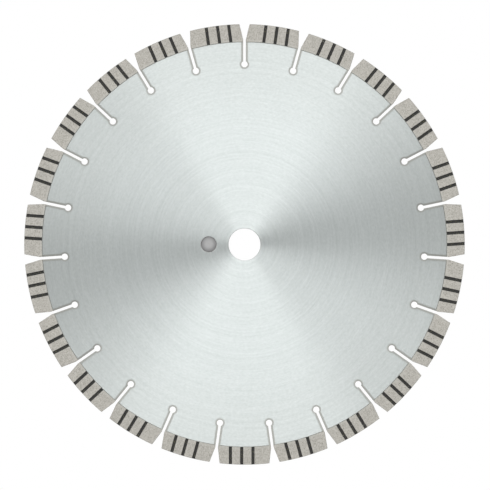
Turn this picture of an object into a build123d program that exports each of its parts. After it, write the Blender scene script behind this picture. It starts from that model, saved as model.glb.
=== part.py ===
"""A segmented diamond blade for a masonry saw.

The blade stands on edge in its own frame: the axis of the arbor bore lies along Y, the front
face looks towards -Y, and Z is up.  The origin is the centre of the bore, half way through the
steel core.

Every piece is first drawn as it is seen from the front: x to the right, y up and z out of the
front face, with the blade's axis along z.  stand_up() then turns it into the blade's frame.
Angles are in degrees and lengths in millimetres.
"""
from build123d import *
from math import asin, cos, degrees, radians, sin, sqrt, tan
import os

# ---------------------------------------------------------------- driving dimensions

# The whole blade
blade_diameter = 350.0  # over the cutting edges
segment_count = 23  # diamond segments, with a cooling slot between each pair

# Steel core
core_thickness = 2.2
bore_diameter = 25.4  # slides onto a one inch arbor
bore_chamfer = 0.3

# Cooling slots, open at the rim and ending in a round keyhole that stops cracks
slot_width = 2.1
slot_length = 17.85  # from the core's rim to the middle of the keyhole
keyhole_diameter = 5.0
slot_bevel_width = 1.25  # the edges of each slot are eased by a wide, shallow bevel
slot_bevel_depth = 0.1

# Hole for the saw's drive pin, and the push-in plug that closes it
pin_hole_diameter = 12.7  # half an inch
pin_hole_offset = 28.4  # from the centre of the bore
pin_hole_chamfer = 0.2
plug_clearance = 0.05  # between the plug and the wall of the hole, all round
plug_recess = 0.15  # the crown of the plug lies this far below the face of the core
plug_crown_radius = 2.0  # the flat middle of the front face
plug_shoulder_drop = 0.8  # the front face falls this far from its crown to its edge
plug_back_rise = 0.35  # the back face swells this far from its edge to its middle
plug_edge_round = 0.2

# Diamond segments, each on a foot without diamond that the laser can weld
segment_height = 14.0  # from the rim of the core to the cutting edge
segment_foot_height = 1.6
segment_side_relief = 0.5  # each flank stands this far proud of the core
segment_end_taper = 6.0  # the ends lean in towards the cutting edge
segment_edge_chamfer = 0.2

# Grooves in the flanks, which let slurry out; they alternate between front and back
groove_width = 2.1  # at the flank
groove_depth = 0.9
groove_draft = 8.0  # lean of each wall, so that the pressing punch comes out
groove_spacing = 4.48  # from a front groove to the next one on the back
grooves_per_flank = 3

# Laser weld seams, which melt the edge of the core's rim and fill the corner below each flank
weld_reach_on_core = 0.35  # from the core's rim inwards
weld_depth_in_core = 0.2
weld_below_flank = 0.1  # the seam stops this far below the flank of the foot
weld_hollow = 0.06  # the seam's surface is slightly concave

# Cutters run this far past the faces that they cut through
cut_overrun = 1.0

# ---------------------------------------------------------------- sizes worked out from them

blade_radius = blade_diameter / 2
core_radius = blade_radius - segment_height
foot_radius = core_radius + segment_foot_height
bore_radius = bore_diameter / 2
keyhole_radius = keyhole_diameter / 2
pin_hole_radius = pin_hole_diameter / 2
half_core = core_thickness / 2
half_segment = half_core + segment_side_relief
half_slot = slot_width / 2
pitch_angle = 360 / segment_count
half_pitch = pitch_angle / 2


# ---------------------------------------------------------------- helpers

def stand_up(piece):
    """Turn a piece from the front-view drawing into the blade's frame."""
    return Plane.XZ.location * piece


def save(piece, node):
    """Write one node to its STEP file."""
    export_step(stand_up(piece), f"parts/{node}.step")


def mirrored(point):
    """The same point on the other side of the segment's centre line."""
    return Vector(-point.X, point.Y)


def on_axis_section(outline):
    """A face from an outline whose x is a distance from the z axis and whose y is the height z."""
    return make_face(Plane.XZ * outline)


def bevelled_section(half_width, bevel_width, bevel_depth):
    """Half of an opening through the core, cut across: a straight wall with a bevel at each face."""
    flare = bevel_width * cut_overrun / bevel_depth
    mouth = half_width + bevel_width + flare
    mouth_height = half_core + cut_overrun
    wall_height = half_core - bevel_depth
    outline = Polyline(
        (0, -mouth_height),
        (mouth, -mouth_height),
        (half_width, -wall_height),
        (half_width, wall_height),
        (mouth, mouth_height),
        (0, mouth_height),
        close=True,
    )
    return on_axis_section(outline)


def round_hole_cutter(radius, bevel_width, bevel_depth):
    """Cutter for a round hole at the origin with a bevel at each face."""
    return revolve(bevelled_section(radius, bevel_width, bevel_depth), axis=Axis.Z)


# ---------------------------------------------------------------- steel core

def slot_cutter():
    """Cutter for the slot at the top of the blade: keyhole, straight slot and their bevels."""
    keyhole_centre = core_radius - slot_length
    keyhole = round_hole_cutter(keyhole_radius, slot_bevel_width, slot_bevel_depth)
    right_half = bevelled_section(half_slot, slot_bevel_width, slot_bevel_depth)
    section = right_half + mirror(right_half, about=Plane.YZ)
    channel = extrude(section, amount=slot_length + cut_overrun, dir=(0, 1, 0))
    return Pos(0, keyhole_centre, 0) * (keyhole + channel)


def core_disc():
    """The bare disc, with the edges of its rim melted away where the weld seams lie."""
    face_radius = core_radius - weld_reach_on_core
    rim_half_width = half_core - weld_depth_in_core
    outline = Polyline(
        (0, -half_core),
        (face_radius, -half_core),
        (core_radius, -rim_half_width),
        (core_radius, rim_half_width),
        (face_radius, half_core),
        (0, half_core),
        close=True,
    )
    return revolve(on_axis_section(outline), axis=Axis.Z)


def steel_core():
    """The tempered disc, with its bore, its drive-pin hole and its cooling slots."""
    bore = round_hole_cutter(bore_radius, bore_chamfer, bore_chamfer)
    pin_hole = round_hole_cutter(pin_hole_radius, pin_hole_chamfer, pin_hole_chamfer)
    slot = slot_cutter()
    slots = [Rot(0, 0, pitch_angle * number) * slot for number in range(segment_count)]
    return core_disc() - bore - Pos(-pin_hole_offset, 0, 0) * pin_hole - slots


# ---------------------------------------------------------------- drive-pin hole plug

def pin_hole_plug():
    """The plug that fills the drive-pin hole: a rounded button in front and a low dome behind."""
    radius = pin_hole_radius - plug_clearance
    crown_height = half_core - plug_recess
    front_rim_height = crown_height - plug_shoulder_drop
    back_rim_height = crown_height - plug_back_rise
    outline = Curve() + [
        Line((0, -crown_height), (0, crown_height)),
        Line((0, crown_height), (plug_crown_radius, crown_height)),
        TangentArc((plug_crown_radius, crown_height), (radius, front_rim_height), tangent=(1, 0)),
        Line((radius, front_rim_height), (radius, -back_rim_height)),
        TangentArc((0, -crown_height), (radius, -back_rim_height), tangent=(1, 0)),
    ]
    plug = revolve(on_axis_section(outline), axis=Axis.Z)
    plug = fillet(plug.edges().filter_by(is_rim_edge), plug_edge_round)
    return Pos(-pin_hole_offset, 0, 0) * plug


def is_rim_edge(edge):
    """True for a circle as wide as the plug."""
    return edge.geom_type == GeomType.CIRCLE and edge.radius > pin_hole_radius - 2 * plug_clearance


# ---------------------------------------------------------------- segments

def foot_corner(radius):
    """Where a circle about the blade's axis meets the right-hand end of the foot.

    The ends of the foot carry on the walls of the slots, so they are parallel to the slots.
    """
    angle = radians(half_pitch) - asin(half_slot / radius)
    return Vector(radius * sin(angle), radius * cos(angle))


def cutting_edge_corner():
    """Where the leaning right-hand end of the segment meets the cutting edge."""
    start = foot_corner(foot_radius)
    lean = radians(segment_end_taper)
    direction = Vector(-sin(lean), cos(lean))
    along = start.dot(direction)
    reach = sqrt(along**2 + blade_radius**2 - foot_radius**2) - along
    return start + direction * reach


def segment_outline():
    """The front view of a foot and its segment, centred on the blade's vertical centre line."""
    root = foot_corner(core_radius)
    shoulder = foot_corner(foot_radius)
    tip = cutting_edge_corner()
    return Curve() + [
        ThreePointArc(mirrored(root), (0, core_radius), root),
        Polyline(root, shoulder, tip),
        ThreePointArc(tip, (0, blade_radius), mirrored(tip)),
        Polyline(mirrored(tip), mirrored(shoulder), mirrored(root)),
    ]


def is_free_edge(edge):
    """True for an edge that doesn't lie against the rim of the core."""
    if edge.geom_type != GeomType.CIRCLE:
        return True
    return edge.radius > foot_radius


def front_groove_cutters():
    """Cutters for the grooves in the front flank of the segment at the top."""
    narrowing = tan(radians(groove_draft))
    floor_height = half_segment - groove_depth
    mouth_height = half_segment + cut_overrun
    mouth_half_width = groove_width / 2 + cut_overrun * narrowing
    floor_half_width = groove_width / 2 - groove_depth * narrowing
    outline = Polyline(
        (-mouth_half_width, mouth_height),
        (-floor_half_width, floor_height),
        (floor_half_width, floor_height),
        (mouth_half_width, mouth_height),
        close=True,
    )
    # The first cutter starts below the ends of the core's rim and ends above the cutting edge
    start = foot_corner(core_radius).Y - cut_overrun
    length = blade_radius + cut_overrun - start
    cutter = Pos(0, start, 0) * extrude(on_axis_section(outline), amount=length, dir=(0, 1, 0))
    first_place = groove_spacing * (1.5 - grooves_per_flank)
    places = [first_place + 2 * groove_spacing * number for number in range(grooves_per_flank)]
    return [Pos(place, 0, 0) * cutter for place in places]


def segment_blank():
    """Foot and segment together, with their edges broken and their grooves pressed in."""
    blank = extrude(make_face(segment_outline()), amount=half_segment, both=True)
    flanks = [blank.faces().sort_by(Axis.Z)[0], blank.faces().sort_by(Axis.Z)[-1]]
    free_edges = [edge for flank in flanks for edge in flank.edges() if is_free_edge(edge)]
    blank = chamfer(free_edges, segment_edge_chamfer)
    front_grooves = front_groove_cutters()
    back_grooves = [Rot(0, 180, 0) * groove for groove in front_grooves]
    return blank - front_grooves - back_grooves


def foot_and_segment():
    """The two layers of the segment at the top: the foot without diamond, and the diamond layer."""
    blank = segment_blank()
    foot_disc = Cylinder(foot_radius, 2 * (half_segment + cut_overrun))
    return blank & foot_disc, blank - foot_disc


# ---------------------------------------------------------------- weld seams

def front_weld_seam():
    """The front seam of the segment at the top, which ends where the bevels of the slots begin."""
    leg_on_foot = segment_side_relief - weld_below_flank
    inner_toe = Vector(core_radius - weld_reach_on_core, half_core)
    root = Vector(core_radius, half_core - weld_depth_in_core)
    outer_toe = Vector(core_radius, half_core + leg_on_foot)
    chord_middle = (inner_toe + outer_toe) / 2
    hollow = chord_middle + (root - chord_middle).normalized() * weld_hollow
    outline = Curve() + [
        Polyline(inner_toe, root, outer_toe),
        ThreePointArc(outer_toe, hollow, inner_toe),
    ]
    end_angle = half_pitch - degrees(asin((half_slot + slot_bevel_width) / core_radius))
    seam = revolve(on_axis_section(outline), axis=Axis.Z, revolution_arc=2 * end_angle)
    return Rot(0, 0, 90 - end_angle) * seam


# ---------------------------------------------------------------- assembly

def main():
    os.makedirs("parts", exist_ok=True)
    save(steel_core(), "steel_core")
    save(pin_hole_plug(), "pin_hole_plug")

    # Segments are numbered clockwise from the slot at the top
    turns = [Rot(0, 0, -pitch_angle * (number + 0.5)) for number in range(segment_count)]
    foot, segment = foot_and_segment()
    for number, turn in enumerate(turns, start=1):
        save(turn * foot, f"segment_foot_{number:02d}")
        save(turn * segment, f"diamond_segment_{number:02d}")

    front_seam = front_weld_seam()
    back_seam = Rot(0, 180, 0) * front_seam
    save(Compound([turn * front_seam for turn in turns]), "front_weld_seams")
    save(Compound([turn * back_seam for turn in turns]), "back_weld_seams")


main()
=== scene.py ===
# %% [markdown]
# # A segmented diamond blade
# This lesson dresses a diamond blade for a masonry saw: a thin steel disc with diamond segments
# welded round its rim. The blade's shape comes from a fixed frame of solid parts. Here each part
# gets its finish, and a few small things are added that are too fine for the solids: the ripples
# of the weld, the diamonds that stand out of the metal, and the moulded plug.

# %% Load the fixed frame
import math
import bmesh
import bpy
from mathutils import Matrix, Vector


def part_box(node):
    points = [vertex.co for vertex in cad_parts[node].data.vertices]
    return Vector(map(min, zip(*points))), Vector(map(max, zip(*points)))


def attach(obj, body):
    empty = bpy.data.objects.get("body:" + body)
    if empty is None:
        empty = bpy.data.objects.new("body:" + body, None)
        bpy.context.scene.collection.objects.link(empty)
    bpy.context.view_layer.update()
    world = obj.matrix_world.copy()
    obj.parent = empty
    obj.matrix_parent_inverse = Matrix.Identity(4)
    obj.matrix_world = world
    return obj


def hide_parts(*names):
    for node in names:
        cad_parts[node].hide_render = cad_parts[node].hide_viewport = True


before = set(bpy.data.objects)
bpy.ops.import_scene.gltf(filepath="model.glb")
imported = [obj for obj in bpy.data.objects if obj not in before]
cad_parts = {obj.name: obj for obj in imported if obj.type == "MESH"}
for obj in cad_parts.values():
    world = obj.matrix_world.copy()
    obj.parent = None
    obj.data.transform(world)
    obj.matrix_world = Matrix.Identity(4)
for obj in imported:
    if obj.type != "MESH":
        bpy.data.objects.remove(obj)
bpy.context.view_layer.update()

# %% [markdown]
# ## Sizes
# The blade stands on edge. Its axis is the Y axis, its front looks towards -Y and Z is up.
# Most sizes are read back from the boxes of the parts and not typed in again. The few that a box
# can't tell, such as the width of a slot, are written once.

# %% Read the blade's sizes back from its parts
MM = 0.001
segments = sorted(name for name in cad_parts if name.startswith("diamond_segment"))
feet = sorted(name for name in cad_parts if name.startswith("segment_foot"))
segment_count = len(segments)
pitch_angle = math.tau / segment_count


def to_tenth(value):
    """A length rounded to a tenth of a millimetre, because a round part's box is a little short."""
    return round(value / MM, 1) * MM


core_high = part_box("steel_core")[1]
core_radius = to_tenth(core_high.x)
half_core = to_tenth(core_high.y)

# The slot at the top faces the middle of one segment at the bottom
bottom_segment = segments[segment_count // 2]
bottom_foot = feet[segment_count // 2]
segment_low, segment_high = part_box(bottom_segment)
foot_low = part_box(bottom_foot)[0]
blade_radius = to_tenth(-segment_low.z)
foot_radius = to_tenth(-foot_low.z)
half_segment = to_tenth(segment_high.y)

plug_low, plug_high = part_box("pin_hole_plug")
plug_centre = (plug_high.x + plug_low.x) / 2
plug_radius = (plug_high.x - plug_low.x) / 2
plug_crown = plug_high.y
print(f"{segment_count} segments, radius {blade_radius / MM:.1f} mm, core {core_radius / MM:.1f} mm")
print(f"plug {2 * plug_radius / MM:.1f} mm wide, {-plug_centre / MM:.1f} mm from the axis")

# %% Sizes that no box can tell
slot_width = 2.1 * MM
slot_length = 17.85 * MM
slot_bevel_width = 1.25 * MM
keyhole_radius = 2.5 * MM
keyhole_centre = core_radius - slot_length
weld_reach_on_core = 0.35 * MM
weld_depth_in_core = 0.2 * MM
weld_below_flank = 0.1 * MM
grooves_per_flank = 3
groove_width = 2.1 * MM
groove_spacing = 4.48 * MM  # from a front groove to the next one on the back
print(f"the keyholes lie {keyhole_centre / MM:.2f} mm from the axis")

# %% [markdown]
# ## Building node trees
# Materials and Geometry Nodes are both trees of nodes. One small helper adds a node, sets its
# properties and joins its inputs, so that a tree reads like a list of steps. An input can be given
# a plain value, another node, whose first output is then used, or one output of a node.

# %% A helper that adds one node
def add_node(tree, kind, inputs=(), **settings):
    """Add a node to a tree. Settings are its properties. Inputs are the sources of its sockets,
    either in their order or by name or number."""
    node = tree.nodes.new(kind)
    for name, value in settings.items():
        setattr(node, name, value)
    if not isinstance(inputs, dict):
        inputs = dict(enumerate(inputs))
    for key, source in inputs.items():
        if isinstance(source, bpy.types.Node):
            source = source.outputs[0]
        if isinstance(source, bpy.types.NodeSocket):
            tree.links.new(source, node.inputs[key])
        else:
            node.inputs[key].default_value = source
    return node


# %% A helper that turns a written colour into light
def colour(hex_text):
    """Linear red, green, blue and alpha from an sRGB colour such as #B6B3AC."""
    values = [int(hex_text[start:start + 2], 16) / 255 for start in (1, 3, 5)]
    linear = [v / 12.92 if v <= 0.04045 else ((v + 0.055) / 1.055) ** 2.4 for v in values]
    return (*linear, 1.0)


# %% Two helpers that start a material and end it
def new_material(name):
    """A material with an empty tree for its patterns."""
    material = bpy.data.materials.new(name)
    material.use_nodes = True
    material.node_tree.nodes.clear()
    return material, material.node_tree


def with_shader(material, inputs):
    """The material with one Principled shader for these patterns and even values."""
    shader = add_node(material.node_tree, "ShaderNodeBsdfPrincipled", inputs)
    add_node(material.node_tree, "ShaderNodeOutputMaterial", {"Surface": shader})
    even = {key: value for key, value in inputs.items() if isinstance(value, float)}
    print(f"{material.name}: {even}")
    return material


# %% [markdown]
# Three patterns come back in several trees: the distance from an axis, a band that is full at an
# edge and fades out further away, and a value shown in two colours. Noise hardly ever reaches 0 or
# 1, so a noise that has to show both colours gets them where most of its values end.

# %% The distance from an axis
def distance_from_axis(tree, vector, across=(1.0, 0.0, 1.0)):
    """The length of a vector, measured across the blade's axis or across the one that is given."""
    flat = add_node(tree, "ShaderNodeVectorMath", [vector, across], operation="MULTIPLY")
    return add_node(tree, "ShaderNodeVectorMath", [flat], operation="LENGTH").outputs["Value"]


# %% A band that fades out
def fading(tree, value, full, gone, strength=1.0):
    """Strength while value is below full, and nothing once it is past gone."""
    return add_node(tree, "ShaderNodeMapRange", {
        "Value": value, "From Min": full, "From Max": gone, "To Min": strength, "To Max": 0.0,
    }, interpolation_type="SMOOTHSTEP")


# %% A value in two colours
noise_ends = (0.3, 0.7)


def two_colours(tree, value, first, second, ends=(0.0, 1.0)):
    """The first colour up to one end, the second from the other on, and a blend in between."""
    ramp = add_node(tree, "ShaderNodeValToRGB", [value])
    for element, end, hex_text in zip(ramp.color_ramp.elements, ends, (first, second)):
        element.position = end
        element.color = colour(hex_text)
    return ramp


# %% [markdown]
# ## Where am I on the blade?
# Grinding lines are circles, slots and grooves point at the axis, and each sector of the blade
# repeats the one before. So nearly every pattern here wants to know two things about a point: how
# far it is from the axis, and where it lies beside the nearest slot or segment. A node group
# works this out once from the object coordinates, which are the blade's own, in metres. Its input
# turns the sectors, so that the group can measure from a slot or from the middle of a segment.

# %% The node group that measures a place on the blade
def blade_place_group():
    """Gives a point's Radius and Direction from the axis, its place Across and Along the nearest
    line of a sector, its Height above the middle of the blade, and its Side: -1 front, 1 back."""
    tree = bpy.data.node_groups.new("place_on_blade", "ShaderNodeTree")
    tree.interface.new_socket("Sector Turn", in_out="INPUT", socket_type="NodeSocketFloat")
    for name in ("Radius", "Across", "Along", "Height", "Side"):
        tree.interface.new_socket(name, in_out="OUTPUT", socket_type="NodeSocketFloat")
    tree.interface.new_socket("Direction", in_out="OUTPUT", socket_type="NodeSocketVector")

    given = add_node(tree, "NodeGroupInput")
    where = add_node(tree, "ShaderNodeTexCoord").outputs["Object"]
    parts = add_node(tree, "ShaderNodeSeparateXYZ", [where]).outputs
    flat = add_node(tree, "ShaderNodeCombineXYZ", {"X": parts["X"], "Z": parts["Z"]})
    direction = add_node(tree, "ShaderNodeVectorMath", [flat], operation="NORMALIZE")
    radius = add_node(tree, "ShaderNodeVectorMath", [flat], operation="LENGTH").outputs["Value"]

    # The angle from the middle of the nearest sector, and with it the two sides of a right triangle
    turn = add_node(tree, "ShaderNodeMath", [parts["X"], parts["Z"]], operation="ARCTAN2")
    shifted = add_node(tree, "ShaderNodeMath", [turn, given], operation="ADD")
    sector = add_node(tree, "ShaderNodeMath", [shifted, pitch_angle / 2, -pitch_angle / 2],
                      operation="WRAP")
    sine = add_node(tree, "ShaderNodeMath", [sector], operation="SINE")
    cosine = add_node(tree, "ShaderNodeMath", [sector], operation="COSINE")
    across = add_node(tree, "ShaderNodeMath", [radius, sine], operation="MULTIPLY")
    along = add_node(tree, "ShaderNodeMath", [radius, cosine], operation="MULTIPLY")
    height = add_node(tree, "ShaderNodeMath", [parts["Y"]], operation="ABSOLUTE")
    side = add_node(tree, "ShaderNodeMath", [parts["Y"]], operation="SIGN")
    add_node(tree, "NodeGroupOutput", {
        "Radius": radius, "Across": across, "Along": along,
        "Height": height, "Side": side, "Direction": direction})
    return tree


place_on_blade = blade_place_group()
from_a_slot = 0.0
from_a_segment = pitch_angle / 2
print("place_on_blade gives", [socket.name for socket in place_on_blade.interface.items_tree])

# %% [markdown]
# ## Circular-ground tempered steel
# The core is rolled spring steel, tempered and then ground flat on a turning table, so that the
# abrasive leaves fine circles round the bore. Such a surface mirrors light in a fan: a lamp above
# it lights two wedges, one above and one below the bore, and the sides stay dull. A glossy shader
# does this when it is anisotropic and its tangent points away from the axis, across the circles.
# The circles themselves are noise that changes fast with the radius and slowly round the blade.
# Real grinding lines are some 0.05 mm apart, too fine to show. So three coarser sets stand for
# them: hairlines for a close look, a grain of short arcs that still shows when the whole blade is
# in view, and rings that run the whole way round, because the table turned many times under each
# place of the wheel. On the outer third, where the wheel left the steel, the rings grow weaker.

# %% Noise in rings
hair_spacing = 0.15 * MM
hair_length = 12.0 * MM
arc_spacing = 1.5 * MM
arc_length = 2.2 * MM
ring_spacing = 2.5 * MM
ring_length = 1000.0 * MM


def ring_noise(tree, place, spacing, length, detail):
    """Noise in arcs round the axis: about one wave to a spacing outwards, and to a length along."""
    radius = place["Radius"]
    outward = add_node(tree, "ShaderNodeMath", [radius, 1 / spacing], operation="MULTIPLY")
    along = add_node(tree, "ShaderNodeMath", [radius, 1 / length], operation="MULTIPLY")
    round_about = add_node(tree, "ShaderNodeVectorMath", {0: place["Direction"], "Scale": along},
                           operation="SCALE")
    parts = add_node(tree, "ShaderNodeSeparateXYZ", [round_about]).outputs
    drawn_out = add_node(tree, "ShaderNodeCombineXYZ", {"X": outward, "Y": parts["X"], "Z": parts["Z"]})
    return add_node(tree, "ShaderNodeTexNoise", {"Vector": drawn_out, "Scale": 1.0, "Detail": detail})


# %% The colour of the ground steel
wheel_leaves_from = 95 * MM
wheel_gone_from = 110 * MM
ring_share_inside = 0.5
ring_share_outside = 0.36
grinding_contrast = 0.7
hair_contrast = 0.17


def ground_colour(tree, place, arcs):
    """A cool grey, a little lighter and darker from ring to ring and from line to line."""
    rings = ring_noise(tree, place, ring_spacing, ring_length, 2.0)
    hairs = ring_noise(tree, place, hair_spacing, hair_length, 1.0)
    ring_share = add_node(tree, "ShaderNodeMapRange", {
        "Value": place["Radius"], "From Min": wheel_leaves_from, "From Max": wheel_gone_from,
        "To Min": ring_share_inside, "To Max": ring_share_outside}, interpolation_type="SMOOTHSTEP")
    grinding = add_node(tree, "ShaderNodeMix", {0: ring_share, 2: arcs, 3: rings}, data_type="FLOAT")
    grinding = add_node(tree, "ShaderNodeMath", [grinding, grinding_contrast, (1 - grinding_contrast) / 2],
                        operation="MULTIPLY_ADD")
    hairs = add_node(tree, "ShaderNodeMapRange",
                     {"Value": hairs, "To Min": -hair_contrast, "To Max": hair_contrast})
    tone = add_node(tree, "ShaderNodeMath", [grinding, hairs], operation="ADD")
    return two_colours(tree, tone, "#A6ABAA", "#BDC2C1", noise_ends)


# %% [markdown]
# The slots are cut by laser and their edges are eased by a wide, shallow bevel. The heat and the
# easing leave a dull band that follows each slot and keyhole, a little wider than the bevel, and
# fades into the steel. Its distance field is simple: the nearer of a line that ends at the
# keyhole, and the keyhole's circle. The weld leaves a fainter band of the same kind at the rim, and
# the whole disc grows a little duller towards the rim, where the wheel runs faster and cuts coarser.

# %% How far a point of the core is from the nearest slot
keyhole_band_trim = 0.35 * MM


def slot_distance(tree, place):
    """Distance in metres from the edge of the nearest slot or keyhole."""
    short_of_end = add_node(tree, "ShaderNodeMath", [keyhole_centre, place["Along"]], operation="SUBTRACT")
    before_end = add_node(tree, "ShaderNodeMath", [short_of_end, 0.0], operation="MAXIMUM")
    gaps = []
    for inwards, half_width in ((before_end, slot_width / 2),
                                (short_of_end, keyhole_radius - keyhole_band_trim)):
        aside = add_node(tree, "ShaderNodeCombineXYZ", {"X": place["Across"], "Y": inwards})
        length = add_node(tree, "ShaderNodeVectorMath", [aside], operation="LENGTH")
        gaps.append(add_node(tree, "ShaderNodeMath", [length.outputs["Value"], half_width],
                             operation="SUBTRACT"))
    return add_node(tree, "ShaderNodeMath", [gaps[0], gaps[1]], operation="MINIMUM")


# %% The dull bands along the slots, at the weld and towards the rim
def dull_band(tree, place):
    """One beside a slot, less beside the weld, a trace over the outer half, and nothing further in."""
    from_rim = add_node(tree, "ShaderNodeMath", [core_radius, place["Radius"]], operation="SUBTRACT")
    by_slot = fading(tree, slot_distance(tree, place), full=0.7 * MM, gone=slot_bevel_width + 1.1 * MM)
    by_weld = fading(tree, from_rim, full=0.2 * MM, gone=1.6 * MM, strength=0.25)
    by_rim = fading(tree, from_rim, full=0.0, gone=80 * MM, strength=0.11)
    band = add_node(tree, "ShaderNodeMath", [by_slot, by_weld], operation="MAXIMUM")
    return add_node(tree, "ShaderNodeMath", [band, by_rim], operation="MAXIMUM")


# %% [markdown]
# The laser leaves fine ribs across the walls that it cuts. A wall looks along the blade and not
# along the axis, so the Y part of its normal tells it from a ground face, and a chamfer lies in
# between. The ribs are noise that is drawn out through the thickness of the plate.

# %% The cut walls of the slots and holes
rib_spacing = 0.25 * MM
rib_stretch = (1.0, 0.05, 1.0)


def with_cut_walls(tree, ground):
    """The given colour on the ground faces, and darker ribs on the walls of slots and holes."""
    normal = add_node(tree, "ShaderNodeNewGeometry").outputs["True Normal"]
    normal = add_node(tree, "ShaderNodeSeparateXYZ", [normal]).outputs
    facing = add_node(tree, "ShaderNodeMath", [normal["Y"]], operation="ABSOLUTE")
    wall = fading(tree, facing, full=0.5, gone=0.9)
    where = add_node(tree, "ShaderNodeTexCoord").outputs["Object"]
    drawn_out = add_node(tree, "ShaderNodeVectorMath", [where, rib_stretch], operation="MULTIPLY")
    ribs = add_node(tree, "ShaderNodeTexNoise",
                    {"Vector": drawn_out, "Scale": 1 / rib_spacing, "Detail": 2.0})
    cut = two_colours(tree, ribs, "#5C5B57", "#9B9A95")
    return add_node(tree, "ShaderNodeMix", {0: wall, 6: ground, 7: cut}, data_type="RGBA")


# %% Circular-ground tempered steel: a satin metal whose shine fans out from the axis
band_roughness = 0.64
bevel_tilt_shown = 0.4  # bevels are shaded with less than their own tilt, which keeps them calm


def ground_steel():
    """Spring steel ground in circles, with its dull bands and its cut walls."""
    material, tree = new_material("circular_ground_tempered_steel")
    place = add_node(tree, "ShaderNodeGroup", {"Sector Turn": from_a_slot},
                     node_tree=place_on_blade).outputs
    arcs = ring_noise(tree, place, arc_spacing, arc_length, 3.0)
    band = dull_band(tree, place)

    ground = ground_colour(tree, place, arcs)
    banded = add_node(tree, "ShaderNodeMix", {0: band, 6: ground, 7: colour("#AAABA6")}, data_type="RGBA")
    walled = with_cut_walls(tree, banded.outputs[2])
    satin = add_node(tree, "ShaderNodeMapRange", {"Value": arcs, "To Min": 0.375, "To Max": 0.405})
    rough = add_node(tree, "ShaderNodeMix", {0: band, 2: satin, 3: band_roughness}, data_type="FLOAT")
    relief = add_node(tree, "ShaderNodeBump", {"Strength": 0.1, "Distance": 0.02 * MM, "Height": arcs})
    calmed = add_node(tree, "ShaderNodeVectorMath",
                      [relief, (bevel_tilt_shown, 1.0, bevel_tilt_shown)], operation="MULTIPLY")
    calmed = add_node(tree, "ShaderNodeVectorMath", [calmed], operation="NORMALIZE")
    return with_shader(material, {
        "Metallic": 1.0, "Anisotropic": 1.0, "Tangent": place["Direction"],
        "Base Color": walled.outputs[2], "Roughness": rough, "Normal": calmed})


# %% [markdown]
# ## Sintered metal bond
# A segment is metal powder and diamond grit, pressed and sintered in a mould. Its flanks are
# dressed with a grinding wheel, which leaves an even warm grey with fine scratches and the cut
# faces of the diamonds. The grooves keep the dark skin that the furnace left. Depth below the
# flank and the distance from a groove tell the two apart.
# Real powder is some 0.05 mm fine, too fine to show. Its grain is drawn 0.3 mm coarse, with
# granules of pressed powder twice that size, each in a tone of its own.

# %% The grain of the powder and the scratches of the dressing wheel
powder_grain = 0.3 * MM
granule_size = 0.6 * MM
granule_share = 0.2
scratch_spacing = 0.15 * MM
scratch_length = 3.0 * MM
scratch_drift = Vector((1.0, 0.0, 1.7)) / (20.0 * MM)  # they change over some 20 mm


def scratched_grain(tree, place, where, grain):
    """The grain, half covered by scratches along the radius that differ from segment to segment."""
    drift = add_node(tree, "ShaderNodeVectorMath", [where, scratch_drift], operation="DOT_PRODUCT")
    across = add_node(tree, "ShaderNodeMath", [place["Across"], scratch_spacing], operation="DIVIDE")
    along = add_node(tree, "ShaderNodeMath", [place["Along"], scratch_length], operation="DIVIDE")
    drawn_out = add_node(tree, "ShaderNodeCombineXYZ",
                         {"X": across, "Y": along, "Z": drift.outputs["Value"]})
    scratches = add_node(tree, "ShaderNodeTexNoise", {"Vector": drawn_out, "Scale": 1.0, "Detail": 2.0})
    return add_node(tree, "ShaderNodeMix", {0: 0.5, 2: grain, 3: scratches}, data_type="FLOAT")


# %% [markdown]
# The cut diamonds are small cells of a Voronoi pattern. A draw for each cell decides whether it
# holds a crystal, and the crystal is a spot in the middle of its cell. A little noise in the place
# that the cells are read from makes the outlines of the spots angular.

# %% Cut diamonds in the flanks
grit_spacing = 1.1 * MM
grit_size = 0.40 * MM
facet_size = 0.3 * MM


def cut_diamonds(tree, askew, share_of_cells):
    """One on the cut face of a diamond, and nothing on the metal round it."""
    nudge = add_node(tree, "ShaderNodeTexNoise", {"Vector": askew, "Scale": 1 / facet_size, "Detail": 0.0})
    nudge = add_node(tree, "ShaderNodeVectorMath", [nudge.outputs["Color"], (0.5, 0.5, 0.5)],
                     operation="SUBTRACT")
    nudge = add_node(tree, "ShaderNodeVectorMath", {0: nudge, "Scale": facet_size}, operation="SCALE")
    nudged = add_node(tree, "ShaderNodeVectorMath", [askew, nudge], operation="ADD")
    cells = add_node(tree, "ShaderNodeTexVoronoi", {"Vector": nudged, "Scale": 1 / grit_spacing})
    inside = add_node(tree, "ShaderNodeMath",
                      [cells.outputs["Distance"], grit_size / 2 / grit_spacing],
                      operation="LESS_THAN")
    lot = add_node(tree, "ShaderNodeSeparateColor", [cells.outputs["Color"]])
    drawn = add_node(tree, "ShaderNodeMath", [lot, share_of_cells], operation="LESS_THAN")
    return add_node(tree, "ShaderNodeMath", [inside, drawn], operation="MULTIPLY")


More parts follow.
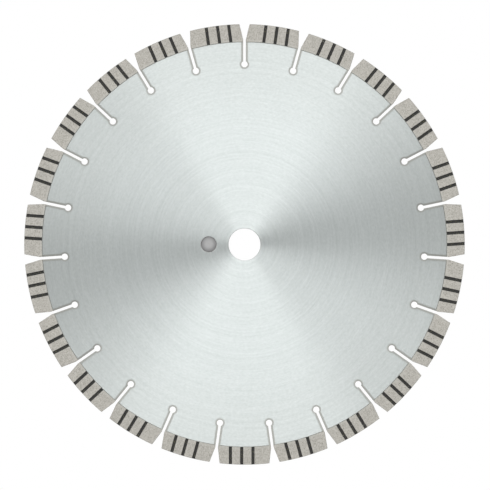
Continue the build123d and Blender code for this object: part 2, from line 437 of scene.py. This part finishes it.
# %% How far a point of a segment is from the nearest groove
def groove_distance(tree, place):
    """Distance in metres from the wall of the nearest groove on this side of the segment."""
    turned = add_node(tree, "ShaderNodeMath", [place["Across"], place["Side"]], operation="MULTIPLY")
    shifted = add_node(tree, "ShaderNodeMath", [turned, -1.0, -groove_spacing / 2],
                       operation="MULTIPLY_ADD")
    nearest = add_node(tree, "ShaderNodeMath", [shifted, groove_spacing, -groove_spacing],
                       operation="WRAP")
    aside = add_node(tree, "ShaderNodeMath", [nearest], operation="ABSOLUTE")
    gap = add_node(tree, "ShaderNodeMath", [aside, groove_width / 2], operation="SUBTRACT")

    # The wrapping goes on past the last groove, so what lies out there counts as far away
    reach = add_node(tree, "ShaderNodeMath", [shifted], operation="ABSOLUTE")
    past = add_node(tree, "ShaderNodeMath", [reach, grooves_per_flank * groove_spacing],
                    operation="GREATER_THAN")
    return add_node(tree, "ShaderNodeMath", [gap, past], operation="ADD")


# %% The furnace skin
skin_depth_full = 0.3 * MM
skin_depth_gone = 0.12 * MM
moulded_lip = 0.21 * MM
lip_blur = 0.05 * MM
dressed_edge = 0.1 * MM


def furnace_skin(tree, place):
    """One in the grooves, over their moulded lips and on the ends, and nothing where it was dressed."""
    deep = fading(tree, place["Height"], half_segment - skin_depth_full,
                  half_segment - skin_depth_gone)
    lip = fading(tree, groove_distance(tree, place), moulded_lip - lip_blur, moulded_lip + lip_blur)
    skin = add_node(tree, "ShaderNodeMath", [deep, lip], operation="MAXIMUM")
    below_edge = add_node(tree, "ShaderNodeMath", [place["Radius"], blade_radius - dressed_edge],
                          operation="LESS_THAN")
    return add_node(tree, "ShaderNodeMath", [skin, below_edge], operation="MULTIPLY")


# %% Sintered bond: dull, faintly metallic flanks over a dark skin, with glossier cut diamonds
diamond_roughness = 0.25
askew_turn = (0.5, 0.7, 0.3)


def sintered_bond(name, light, dark, diamond, diamond_share):
    """Dressed flanks between two greys over a dark furnace skin, with diamonds in a share of cells."""
    material, tree = new_material(name)
    place = add_node(tree, "ShaderNodeGroup", {"Sector Turn": from_a_segment},
                     node_tree=place_on_blade).outputs
    where = add_node(tree, "ShaderNodeTexCoord").outputs["Object"]

    # Noise is built on a lattice. It is turned askew, so that it looks alike all round the rim
    askew = add_node(tree, "ShaderNodeVectorRotate", {"Vector": where, "Rotation": askew_turn},
                     rotation_type="EULER_XYZ")
    grain = add_node(tree, "ShaderNodeTexNoise",
                     {"Vector": askew, "Scale": 1 / powder_grain, "Detail": 4.0})
    fine = scratched_grain(tree, place, where, grain)
    granules = add_node(tree, "ShaderNodeTexVoronoi", {"Vector": askew, "Scale": 1 / granule_size})
    own_tone = add_node(tree, "ShaderNodeSeparateColor", [granules.outputs["Color"]])
    tone = add_node(tree, "ShaderNodeMix", {0: granule_share, 2: fine, 3: own_tone}, data_type="FLOAT")
    flank = two_colours(tree, tone, dark, light, noise_ends)

    crystal = cut_diamonds(tree, askew, diamond_share)
    specked = add_node(tree, "ShaderNodeMix", {0: crystal, 6: flank, 7: colour(diamond)}, data_type="RGBA")
    sooty = two_colours(tree, grain, "#212120", "#353533")
    skin = furnace_skin(tree, place)
    base = add_node(tree, "ShaderNodeMix", {0: skin, 6: specked.outputs[2], 7: sooty}, data_type="RGBA")

    rough = add_node(tree, "ShaderNodeMapRange", {"Value": fine, "To Min": 0.52, "To Max": 0.7})
    rough = add_node(tree, "ShaderNodeMix", {0: crystal, 2: rough, 3: diamond_roughness},
                     data_type="FLOAT")
    relief = add_node(tree, "ShaderNodeBump", {"Strength": 0.35, "Distance": 0.05 * MM, "Height": fine})
    return with_shader(material, {
        "Metallic": 0.6, "Base Color": base.outputs[2], "Roughness": rough, "Normal": relief})


# %% [markdown]
# ## Laser-welded steel
# Where the laser has run, the steel has melted, frozen bright and then taken a thin grey oxide, in
# patches a millimetre or two long. The ripples of the seam are real shape, made further down, so
# the finish needs only the patches. The diamonds are patchy in the same way.

# %% A helper for patchy materials
def patchy_finish(name, even_values, patch, detail, dark, light):
    """A material in patches of two colours."""
    material, tree = new_material(name)
    where = add_node(tree, "ShaderNodeTexCoord").outputs["Object"]
    cloud = add_node(tree, "ShaderNodeTexNoise", {"Vector": where, "Scale": 1 / patch, "Detail": detail})
    tint = two_colours(tree, cloud, dark, light)
    return with_shader(material, {"Base Color": tint, **even_values})


# %% Laser-welded steel: still glossy metal under patches of dull grey oxide
weld_finish = patchy_finish("laser_welded_steel", {"Metallic": 1.0, "Roughness": 0.45},
                            patch=1.6 * MM, detail=4.0, dark="#696964", light="#90908A")

# %% [markdown]
# ## Moulded polyethylene
# The plug is injection moulded from grey polyethylene. Its mould was spark-eroded, which prints a
# matt grain on it. A painted shade darkens its grey from the crown towards the rim. Real spark
# grain is near 0.1 mm, too fine to show here, so it is drawn 0.5 mm coarse and very shallow.

# %% Moulded polyethylene: matt, with painted shade darkening it towards the rim
spark_grain = 0.5 * MM


def moulded_polymer():
    """Grey polyethylene with the fine sparked grain of its mould, and painted shade towards the rim."""
    material, tree = new_material("moulded_grey_polyethylene")
    where = add_node(tree, "ShaderNodeTexCoord").outputs["Object"]
    grain = add_node(tree, "ShaderNodeTexNoise",
                     {"Vector": where, "Scale": 1 / spark_grain, "Detail": 3.0})
    from_centre = add_node(tree, "ShaderNodeVectorMath", [where, (plug_centre, 0.0, 0.0)],
                           operation="SUBTRACT")
    # painted shade: the grey grows darker from the crown towards the rim
    painted_shade_to_rim = fading(tree, distance_from_axis(tree, from_centre), full=1.5 * MM, gone=6.3 * MM)
    plain = two_colours(tree, painted_shade_to_rim, "#787878", "#9D9D9D")
    shade = add_node(tree, "ShaderNodeMapRange", {"Value": grain, "To Min": 0.9, "To Max": 1.1})
    tint = add_node(tree, "ShaderNodeVectorMath", {0: plain, "Scale": shade}, operation="SCALE")
    relief = add_node(tree, "ShaderNodeBump", {"Strength": 0.2, "Distance": 0.03 * MM, "Height": grain})
    return with_shader(material, {"Roughness": 0.5, "Base Color": tint, "Normal": relief})


# %% [markdown]
# ## Give every part its finish
# The foot of a segment is the same bond without diamonds. Its metal is made to be welded and not to
# cut, and the dressing leaves it in a more even tone. Each part is found by what its name contains.

# %% Finishes by name
plug_finish = moulded_polymer()
finishes = {
    "steel_core": ground_steel(),
    "diamond_segment": sintered_bond("sintered_diamond_bond", "#B6B3AC", "#7F7D77", "#5E5C4A", 0.4),
    "segment_foot": sintered_bond("sintered_foot_without_diamond", "#B1AFA9", "#8F8D86", "#88867F", 0.0),
    "weld_seams": weld_finish,
    "pin_hole_plug": plug_finish,
}
for name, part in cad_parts.items():
    kind = next(kind for kind in finishes if kind in name)
    part.material_slots[0].material = finishes[kind]
print(f"{len(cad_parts)} parts have their finish")

# %% [markdown]
# ## Plain meshes from Geometry Nodes
# What repeats along a path, or lies scattered on a face, is grown by Geometry Nodes. Each setting
# of the growth is a named input of its tree. The tree is run once on a carrier object and its result
# is kept as a plain mesh, so that the finished blade holds no modifiers.

# %% A helper that starts a tree of Geometry Nodes
def new_growth(name, settings):
    """A Geometry Nodes tree with a geometry input and output, and one input for each setting."""
    tree = bpy.data.node_groups.new(name, "GeometryNodeTree")
    tree.interface.new_socket("Geometry", in_out="INPUT", socket_type="NodeSocketGeometry")
    tree.interface.new_socket("Geometry", in_out="OUTPUT", socket_type="NodeSocketGeometry")
    for socket, value in settings.items():
        kind = type(value).__name__.capitalize()  # Float, Int, Object or Material
        tree.interface.new_socket(socket, in_out="INPUT", socket_type="NodeSocket" + kind)
    return tree, add_node(tree, "NodeGroupInput").outputs


# %% A helper that ends such a tree
def finish_growth(tree, geometry, finish):
    """Turns instances into real faces, gives them their finish and hands them out."""
    whole = add_node(tree, "GeometryNodeRealizeInstances", {"Geometry": geometry})
    dressed = add_node(tree, "GeometryNodeSetMaterial", {"Geometry": whole, "Material": finish})
    add_node(tree, "NodeGroupOutput", {"Geometry": dressed})


# %% A helper for new objects
def new_object(name, data):
    """An object that holds this data, linked to the scene."""
    thing = bpy.data.objects.new(name, data)
    bpy.context.scene.collection.objects.link(thing)
    return thing


# %% A helper that runs such a tree once
def grow(build_tree, mesh, settings):
    """The plain mesh that a tree makes from this mesh with these settings."""
    tree = build_tree(settings)
    carrier = new_object("carrier", mesh)
    modifier = carrier.modifiers.new("growth", "NODES")
    modifier.node_group = tree
    for socket in tree.interface.items_tree:
        if socket.name in settings:
            modifier[socket.identifier] = settings[socket.name]
    scene_state = bpy.context.evaluated_depsgraph_get()
    result = bpy.data.meshes.new_from_object(carrier.evaluated_get(scene_state))
    bpy.data.objects.remove(carrier)
    return result


# %% A helper that puts a finished mesh on the blade
def add_piece(name, mesh, body):
    """A piece that rides on a body, in the finish that its mesh already holds."""
    piece = new_object(name, mesh)
    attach(piece, body)
    print(f"{name}: {len(mesh.polygons)} faces")
    return piece


# %% [markdown]
# ## Rippled weld seams
# A laser melts the foot to the core from each side. Every pulse freezes in a small ripple, so the
# seam looks like a row of fallen coins. Here the seam's section is swept along an arc under each
# segment. The tree swells the section a little at the start of every ripple and lets it sink
# again before the next, and a slow noise keeps the ripples from being all alike.

# %% The section of a seam
# From the root in the corner: the toe on the foot, the hollow face, and the toe on the core.
# The side along the foot lies a hair inside it, so that no gap shows between them.
bite_into_foot = 0.03 * MM
weld_height_on_foot = weld_depth_in_core + half_segment - half_core - weld_below_flank
upper_hollow = (-0.10 * MM, 0.42 * MM)
lower_hollow = (-0.21 * MM, 0.29 * MM)
seam_section = [
    (bite_into_foot, 0.0),
    (bite_into_foot, weld_height_on_foot),
    upper_hollow,
    lower_hollow,
    (-weld_reach_on_core, weld_depth_in_core),
]
print(f"a seam climbs {weld_height_on_foot / MM:.2f} mm up the foot")


# %% The tree that sweeps a rippled seam
uneven_over = 1.3 * MM


def seam_tree(settings):
    """Sweeps a section along every edge path, swelling it from ripple to ripple."""
    tree, given = new_growth("rippled_seam", settings)
    path = add_node(tree, "GeometryNodeMeshToCurve", {"Mesh": given["Geometry"]})
    path = add_node(tree, "GeometryNodeResampleCurve", {"Curve": path, "Length": given["Step"]},
                    mode="LENGTH")
    path = add_node(tree, "GeometryNodeSetCurveNormal", {"Curve": path}, mode="Z_UP")

    # Each ripple starts full and sinks towards the next
    along = add_node(tree, "GeometryNodeSplineParameter").outputs["Length"]
    count = add_node(tree, "ShaderNodeMath", [along, given["Ripple Length"]], operation="DIVIDE")
    phase = add_node(tree, "ShaderNodeMath", [count], operation="FRACT")
    sunk = add_node(tree, "ShaderNodeMath", [phase, 2.0], operation="POWER")
    sunk = add_node(tree, "ShaderNodeMath", [sunk, given["Ripple Share"]], operation="MULTIPLY")
    place = add_node(tree, "GeometryNodeInputPosition")
    noise = add_node(tree, "ShaderNodeTexNoise",
                     {"Vector": place, "Scale": 1 / uneven_over, "Detail": 1.0})
    uneven = add_node(tree, "ShaderNodeMath", [noise, given["Unevenness"]], operation="MULTIPLY")
    lost = add_node(tree, "ShaderNodeMath", [sunk, uneven], operation="ADD")
    size = add_node(tree, "ShaderNodeMath", [given["Swell"], lost], operation="SUBTRACT")

    section = add_node(tree, "GeometryNodeObjectInfo", {"Object": given["Section"]},
                       transform_space="ORIGINAL")
    section = add_node(tree, "GeometryNodeMeshToCurve", {"Mesh": section.outputs["Geometry"]})
    sweep = add_node(tree, "GeometryNodeCurveToMesh", {
        "Curve": path, "Profile Curve": section, "Scale": size, "Fill Caps": True})
    upright = add_node(tree, "GeometryNodeTransform", {
        "Geometry": sweep, "Rotation": (math.radians(90.0), 0.0, 0.0)})
    finish_growth(tree, upright, given["Finish"])
    return tree


# %% Arcs for the front seams, drawn flat and then stood up by the tree
seam_half_angle = pitch_angle / 2 - math.asin((slot_width / 2 + slot_bevel_width) / core_radius)


def seam_paths():
    """One arc of edges under each segment, at the root of its seam."""
    mesh = bpy.data.meshes.new("seam_paths")
    height = half_core - weld_depth_in_core
    steps = 24
    points, edges = [], []
    for number in range(segment_count):
        middle = math.pi / 2 - pitch_angle * (number + 0.5)
        for step in range(steps + 1):
            angle = middle + seam_half_angle * (1 - 2 * step / steps)
            if step:
                edges.append((len(points) - 1, len(points)))
            points.append((core_radius * math.cos(angle), core_radius * math.sin(angle), height))
    mesh.from_pydata(points, edges, [])
    return mesh


def section_outline():
    """The section as an object, turned the way that a sweep reads it."""
    mesh = bpy.data.meshes.new("seam_section")
    corners = len(seam_section)
    mesh.from_pydata([(-x, -y, 0.0) for x, y in seam_section],
                     [(corner, (corner + 1) % corners) for corner in range(corners)], [])
    return new_object("seam_section", mesh)


# %% Grow the seams of the front, and mirror them for the back
ripple_length = 0.5 * MM
steps_in_ripple = 4
outline = section_outline()
front_seams = grow(seam_tree, seam_paths(), {
    "Section": outline,
    "Step": ripple_length / steps_in_ripple,
    "Ripple Length": ripple_length,
    "Ripple Share": 0.16,
    "Swell": 1.06,
    "Unevenness": 0.10,
    "Finish": weld_finish,
})
bpy.data.objects.remove(outline)
back_seams = front_seams.copy()
back_seams.transform(Matrix.Scale(-1.0, 4, (0.0, 1.0, 0.0)))
back_seams.flip_normals()
for side, mesh in (("front", front_seams), ("back", back_seams)):
    seams = add_piece(f"{side}_rippled_weld_seams", mesh, "blade")
    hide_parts(f"{side}_weld_seams")

# %% [markdown]
# ## Diamonds in the furnace skin
# Dressing cuts the diamonds of the flanks flat, but in the grooves and on the ends they still
# stand out of the metal. They are grown crystals, somewhere between a cube and an octahedron, and
# 0.24 to 0.4 mm across. They are scattered over the faces that the dressing wheel never touches,
# each turned its own way and sunk by a little more than half.

# %% One diamond
def grown_crystal():
    """A cuboctahedron of radius one, the usual habit of a grown diamond."""
    mesh = bpy.data.meshes.new("grown_crystal")
    shape = bmesh.new()
    side = math.sqrt(0.5)
    for a in (-side, side):
        for b in (-side, side):
            for corner in ((a, b, 0.0), (a, 0.0, b), (0.0, a, b)):
                shape.verts.new(corner)
    bmesh.ops.convex_hull(shape, input=shape.verts)
    shape.to_mesh(mesh)
    shape.free()
    return new_object("grown_crystal", mesh)


# %% The faces that keep the furnace skin
flank_margin = 0.15 * MM
rim_margin = 0.3 * MM


def undressed_faces():
    """Groove floors, groove walls and ends of all the segments, as one mesh."""
    points, faces = [], []
    for name in segments:
        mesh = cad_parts[name].data
        for face in mesh.polygons:
            radius = math.hypot(face.center.x, face.center.z)
            on_flank = abs(face.center.y) > half_segment - flank_margin
            if on_flank or not foot_radius + rim_margin < radius < blade_radius - rim_margin:
                continue
            faces.append(tuple(range(len(points), len(points) + len(face.vertices))))
            points.extend(tuple(mesh.vertices[corner].co) for corner in face.vertices)
    skin = bpy.data.meshes.new("undressed_faces")
    skin.from_pydata(points, [], faces)
    print(f"{len(faces)} faces keep the furnace skin")
    return skin


# %% The tree that scatters diamonds
full_turn = 6.283  # in radians


def diamond_tree(settings):
    """Scatters sunken crystals over every face."""
    tree, given = new_growth("scattered_diamonds", settings)
    spots = add_node(tree, "GeometryNodeDistributePointsOnFaces", {
        "Mesh": given["Geometry"], "Density": given["Density"], "Seed": given["Seed"]})
    sink = add_node(tree, "ShaderNodeVectorMath",
                    {0: spots.outputs["Normal"], "Scale": given["Sink"]}, operation="SCALE")
    sunk = add_node(tree, "GeometryNodeSetPosition", {"Geometry": spots, "Offset": sink})

    # The wheel has cut every crystal that stood past the cutting edge or past a flank
    place = add_node(tree, "GeometryNodeInputPosition")
    height = add_node(tree, "ShaderNodeSeparateXYZ", [place]).outputs["Y"]
    height = add_node(tree, "ShaderNodeMath", [height], operation="ABSOLUTE")
    below_edge = add_node(tree, "FunctionNodeCompare",
                          {"A": distance_from_axis(tree, place), "B": given["Farthest"]},
                          data_type="FLOAT", operation="LESS_THAN")
    below_flank = add_node(tree, "FunctionNodeCompare", {"A": height, "B": given["Highest"]},
                           data_type="FLOAT", operation="LESS_THAN")
    inside = add_node(tree, "FunctionNodeBooleanMath", [below_edge, below_flank], operation="AND")

    turn = add_node(tree, "FunctionNodeRandomValue", {
        "Min": (0.0, 0.0, 0.0), "Max": (full_turn, full_turn, full_turn), "Seed": given["Seed"],
    }, data_type="FLOAT_VECTOR")
    turned = add_node(tree, "FunctionNodeEulerToRotation", [turn])
    size = add_node(tree, "FunctionNodeRandomValue", {
        2: given["Smallest"], 3: given["Largest"], "Seed": given["Seed"]}, data_type="FLOAT")
    crystal = add_node(tree, "GeometryNodeObjectInfo", {"Object": given["Crystal"]},
                       transform_space="ORIGINAL")
    grown = add_node(tree, "GeometryNodeInstanceOnPoints", {
        "Points": sunk, "Selection": inside, "Instance": crystal.outputs["Geometry"],
        "Rotation": turned, "Scale": size.outputs[1]})
    finish_growth(tree, grown, given["Finish"])
    return tree


# %% [markdown]
# Saw diamonds are grown in a press, and nitrogen tints them a greenish yellow. Their index of
# refraction is 2.417, so even a rough crystal has a bright, hard gloss. So small and half sunk in
# dark metal, they are drawn solid and not as glass, in a tint that differs from one to the next.

# %% Grown industrial diamond: greenish yellow with a hard gloss
diamond_finish = patchy_finish("grown_industrial_diamond", {"Roughness": 0.18, "IOR": 2.417},
                               patch=0.9 * MM, detail=2.0, dark="#6F6B36", light="#A9A56A")

# %% Grow the diamonds
clear_of_edge = 0.5 * MM
clear_of_flank = 0.2 * MM
crystal = grown_crystal()
diamonds = grow(diamond_tree, undressed_faces(), {
    "Crystal": crystal,
    "Density": 0.4 / MM ** 2,
    "Smallest": 0.12 * MM,
    "Largest": 0.20 * MM,
    "Sink": -0.04 * MM,
    "Farthest": blade_radius - clear_of_edge,
    "Highest": half_segment - clear_of_flank,
    "Seed": 7,
    "Finish": diamond_finish,
})
bpy.data.objects.remove(crystal)
add_piece("standing_diamonds", diamonds, "blade")

# %% [markdown]
# ## The moulded plug
# The plug is pushed into the drive-pin hole when the saw has no pin. It is turned here as one
# closed profile: a crown with the mark of the moulding gate, a shoulder that falls away to the
# rim, a short wall, and the flatter face of the back.

# %% Turn a closed profile round an axis parallel to the blade's
def turned_mesh(name, profile, centre_x, steps):
    """A mesh turned from (radius, y) points, whose first and last lie on the axis."""
    points = [(centre_x, profile[0][1], 0.0)]
    for radius, height in profile[1:-1]:
        for step in range(steps):
            angle = math.tau * step / steps
            points.append((centre_x + radius * math.cos(angle), height, radius * math.sin(angle)))
    points.append((centre_x, profile[-1][1], 0.0))
    rings = len(profile) - 2
    last = len(points) - 1
    faces = []
    for step in range(steps):
        after = (step + 1) % steps
        faces.append((0, 1 + step, 1 + after))
        for ring in range(rings - 1):
            inner, outer = 1 + ring * steps, 1 + (ring + 1) * steps
            faces.append((inner + step, outer + step, outer + after, inner + after))
        faces.append((last, last - steps + after, last - steps + step))
    mesh = bpy.data.meshes.new(name)
    mesh.from_pydata(points, [], faces)
    mesh.shade_smooth()
    return mesh


# %% The plug's profile
gate_radius = 0.55 * MM
gate_depth = 0.05 * MM
shoulder_start = 2.0 * MM
shoulder_drop = 0.8 * MM
shoulder_steps = 16
back_edge = 0.6 * MM
back_lift = 0.08 * MM  # from the edge of the back to where its face begins
back_steps = 8
edge_round = 0.12 * MM


def plug_profile():
    """Radius and height from the middle of the front round to the middle of the back."""
    front = -plug_crown
    points = [(0.0, front + gate_depth), (0.8 * gate_radius, front + gate_depth),
              (gate_radius, front + 0.3 * gate_depth), (1.3 * gate_radius, front)]

    # The shoulder falls away faster and faster
    shoulder_end = 0.985 * plug_radius
    for step in range(shoulder_steps + 1):
        share = step / shoulder_steps
        radius = shoulder_start + share * (shoulder_end - shoulder_start)
        points.append((radius, front + shoulder_drop * share ** 2))

    # The wall, rounded at both ends
    edge = front + shoulder_drop
    points += [(0.996 * plug_radius, edge + edge_round / 3), (plug_radius, edge + edge_round),
               (plug_radius, back_edge - edge_round), (0.99 * plug_radius, back_edge)]

    # The back rises to its own low crown
    back_start = back_edge + back_lift
    for step in range(1, back_steps + 1):
        share = step / back_steps
        height = back_start + (plug_crown - back_start) * (1 - (1 - share) ** 2)
        points.append((0.97 * plug_radius * (1 - share), height))
    return points


# %% Place the plug
plug_mesh = turned_mesh("moulded_plug", plug_profile(), plug_centre, steps=96)
plug_mesh.materials.append(plug_finish)
plug = add_piece("moulded_plug", plug_mesh, "plug")
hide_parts("pin_hole_plug")

# %% [markdown]
# ## Studio
# Ground steel shows its surroundings, so the studio is white all round. Yet it has to light the
# blade gently, or pale surfaces would burn out. Light Path makes both possible: a ray that is
# looked along, or mirrored, sees plain white, and one that only brings light finds a softer world.

# %% Which rays are looked along
def looked_along(tree):
    """One for a ray from the camera, off a mirror or through glass, and nothing for any other."""
    path = add_node(tree, "ShaderNodeLightPath").outputs
    seen = add_node(tree, "ShaderNodeMath", [path["Is Camera Ray"], path["Is Glossy Ray"]],
                    operation="MAXIMUM")
    return add_node(tree, "ShaderNodeMath", [seen, path["Is Transmission Ray"]], operation="MAXIMUM")


# %% White surroundings that light the blade gently
world_fill = 0.35
white = (1.0, 1.0, 1.0, 1.0)


def white_studio_world():
    """White to the eye, to mirrors and to glass, and a softer fill for what is matt."""
    world = bpy.data.worlds.new("white_studio")
    bpy.context.scene.world = world
    world.use_nodes = True
    tree = world.node_tree
    tree.nodes.clear()
    strength = add_node(tree, "ShaderNodeMapRange",
                        {"Value": looked_along(tree), "To Min": world_fill, "To Max": 1.0})
    light = add_node(tree, "ShaderNodeBackground", {"Color": white, "Strength": strength})
    add_node(tree, "ShaderNodeOutputWorld", {"Surface": light})
    print(f"the world lights the blade with {world_fill} of white")


white_studio_world()

# %% [markdown]
# The lamps are large soft boxes, far away, so that each lights the whole disc from nearly one
# direction. A ground disc turns each lamp into two wedges of shine, in line with the lamp and
# opposite it. The key above lights the tall wedges, and a smaller fill on the left adds a weaker
# pair beside them. The back has two lamps of its own and looks like the front.

# %% Soft lamps
lamp_distance = 20.0
lamps = {
    "key_above": {"turn": 5.0, "lean": 27.2, "width": 17.0, "height": 13.3, "radiance": 3.9},
    "fill_left": {"turn": -65.9, "lean": 31.7, "width": 6.7, "height": 6.7, "radiance": 2.85},
}


def soft_box(name, side, turn, lean, width, height, radiance):
    """A soft box aimed at the blade, in front of it for side -1. Turn is clockwise from straight up,
    seen from the front, and lean is how far it stands away from the blade's axis, in degrees."""
    data = bpy.data.lights.new(name, "AREA")
    data.shape = "RECTANGLE"
    data.size = width
    data.size_y = height
    data.energy = radiance * math.pi * width * height  # an area lamp's power, by its radiance
    lamp = new_object(name, data)
    turn, lean = math.radians(turn), math.radians(lean)
    lamp.location = lamp_distance * Vector((
        math.sin(lean) * math.sin(turn), side * math.cos(lean), math.sin(lean) * math.cos(turn)))
    lamp.rotation_mode = "QUATERNION"
    lamp.rotation_quaternion = (-lamp.location).to_track_quat("-Z", "Y")
    lamp.visible_camera = False
    print(f"{name}: {data.energy:.0f} W")


for face, side in (("front", -1.0), ("back", 1.0)):
    for lamp_name, lamp_values in lamps.items():
        soft_box(f"{face}_{lamp_name}", side, **lamp_values)

# %% [markdown]
# The floor is a sheet of white paper below the blade. Near its middle it keeps the blade's shadow,
# and further out it fades into the white of the studio, so that no horizon shows.

# %% Matt white paper that turns into light further out
floor_drop = 85 * MM
floor_reach = 3.0


def pale_floor():
    """A large sheet that is paper under the blade and plain white further out."""
    mesh = bpy.data.meshes.new("floor")
    height = -blade_radius - floor_drop
    corners = [(-1, -1), (1, -1), (1, 1), (-1, 1)]
    points = [(floor_reach * x, floor_reach * y, height) for x, y in corners]
    mesh.from_pydata(points, [], [(0, 1, 2, 3)])
    floor = new_object("floor", mesh)
    material, tree = new_material("matt_white_paper")
    where = add_node(tree, "ShaderNodeTexCoord").outputs["Object"]
    away = distance_from_axis(tree, where, (1.0, 1.0, 0.0))
    paper_share = fading(tree, away, full=0.45, gone=0.8)
    faded = add_node(tree, "ShaderNodeMath", [1.0, paper_share], operation="SUBTRACT")
    share = add_node(tree, "ShaderNodeMath", [faded, looked_along(tree)], operation="MULTIPLY")
    paper = add_node(tree, "ShaderNodeBsdfDiffuse", {"Color": colour("#F2F2F2")})
    light = add_node(tree, "ShaderNodeEmission", {"Color": white, "Strength": 1.0})
    both = add_node(tree, "ShaderNodeMixShader", [share, paper, light])
    add_node(tree, "ShaderNodeOutputMaterial", {"Surface": both})
    mesh.materials.append(material)
    print(f"the floor lies {floor_drop / MM:.0f} mm under the blade")


pale_floor()

# %% [markdown]
# ## Camera
# The camera looks straight at the front of the blade through a long lens, which keeps the rim
# round and hides the walls of the slots. Its lens follows from the blade's width in the picture,
# and its place from how far the picture's centre lies to the right of the blade's and below it.

# %% Camera
picture_width = 490.0
blade_width_in_picture = 440.57
centre_right_of_blade = 0.495
centre_below_blade = 0.6
camera_distance = 10.0
pixel = 2 * blade_radius / blade_width_in_picture


def front_camera():
    """A long lens, square on to the front of the blade."""
    data = bpy.data.cameras.new("front_camera")
    data.sensor_width = 36.0
    data.lens = data.sensor_width * camera_distance / (picture_width * pixel)
    camera = new_object("front_camera", data)
    camera.location = (centre_right_of_blade * pixel, -half_segment - camera_distance,
                       -centre_below_blade * pixel)
    camera.rotation_euler = (math.radians(90.0), 0.0, 0.0)
    bpy.context.scene.camera = camera
    print(f"lens {data.lens:.1f} mm at {camera_distance:.2f} m")


front_camera()
bpy.context.scene.view_settings.view_transform = "Standard"
